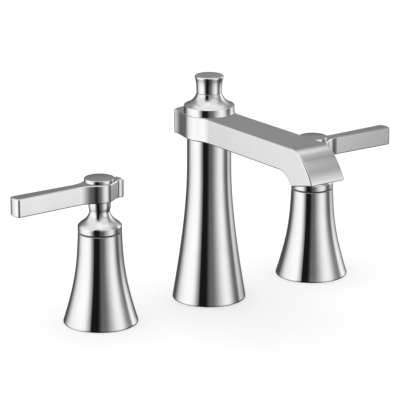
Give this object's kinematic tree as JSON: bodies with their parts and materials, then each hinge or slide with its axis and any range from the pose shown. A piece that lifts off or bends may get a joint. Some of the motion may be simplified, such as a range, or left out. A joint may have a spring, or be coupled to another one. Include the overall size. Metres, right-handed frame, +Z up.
{
  "type": "widespread bathroom faucet",
  "caption": "Deck-mounted basin faucet: a flat spout arm with a down-turned tip on a flared column, a pull knob on top, and a lever handle on a flared foot at each side.",
  "frame": {"origin": "the spout column's axis at the top face of the deck", "axes": "+Z up along the column, -Y along the spout arm towards the user, +X towards the cold handle"},
  "size_m": [0.3552, 0.1741, 0.3076],
  "materials": {
    "chrome": "mirror-polished plating on brass",
    "brass": "turned, unplated",
    "stainless_steel": "satin",
    "rubber": "matt black",
    "black_plastic": "moulded black acetal",
    "white_plastic": "moulded white acetal",
    "ceramic": "lapped alumina"
  },
  "bodies": {
    "root": {"spout_column": "chrome", "spout_arm": "chrome", "finial_base": "chrome", "lift_rod_guide": "white_plastic", "spout_shank": "brass", "spout_water_tube": "brass", "spout_inlet_nipple": "brass", "spout_gasket": "rubber", "spout_rubber_washer": "rubber", "spout_metal_washer": "stainless_steel", "spout_mounting_nut": "brass", "aerator_washer": "rubber", "aerator_insert": "white_plastic", "aerator_housing": "chrome", "left_escutcheon": "chrome", "left_glide_ring": "black_plastic", "left_valve_body": "brass", "left_base_gasket": "rubber", "left_shoulder_washer": "rubber", "left_deck_washer": "stainless_steel", "left_lock_nut": "brass", "left_cartridge_seal": "rubber", "left_fixed_disc": "ceramic", "left_cartridge_body": "white_plastic", "left_bonnet_nut": "brass", "right_escutcheon": "chrome", "right_glide_ring": "black_plastic", "right_valve_body": "brass", "right_base_gasket": "rubber", "right_shoulder_washer": "rubber", "right_deck_washer": "stainless_steel", "right_lock_nut": "brass", "right_cartridge_seal": "rubber", "right_fixed_disc": "ceramic", "right_cartridge_body": "white_plastic", "right_bonnet_nut": "brass"},
    "left_handle": {"left_hub": "chrome", "left_lever": "chrome", "left_cap": "chrome", "left_handle_screw": "stainless_steel", "left_stem": "brass", "left_stem_o_ring": "rubber", "left_rotating_disc": "ceramic"},
    "right_handle": {"right_hub": "chrome", "right_lever": "chrome", "right_cap": "chrome", "right_handle_screw": "stainless_steel", "right_stem": "brass", "right_stem_o_ring": "rubber", "right_rotating_disc": "ceramic"},
    "lift_rod_assembly": {"lift_rod": "stainless_steel", "lift_rod_knob": "chrome"}
  },
  "joints": [
    {"name": "left_handle_turn", "type": "hinge", "parent": "root", "child": "left_handle", "pos_m": [-0.1016, 0, 0], "axis": [0, 0, 1], "range_deg": [0, 90]},
    {"name": "right_handle_turn", "type": "hinge", "parent": "root", "child": "right_handle", "pos_m": [0.1016, 0, 0], "axis": [0, 0, 1], "range_deg": [-90, 0]},
    {"name": "lift_rod_slide", "type": "slide", "parent": "root", "child": "lift_rod_assembly", "axis": [0, 0, 1], "range_m": [0, 0.025]}
  ]
}
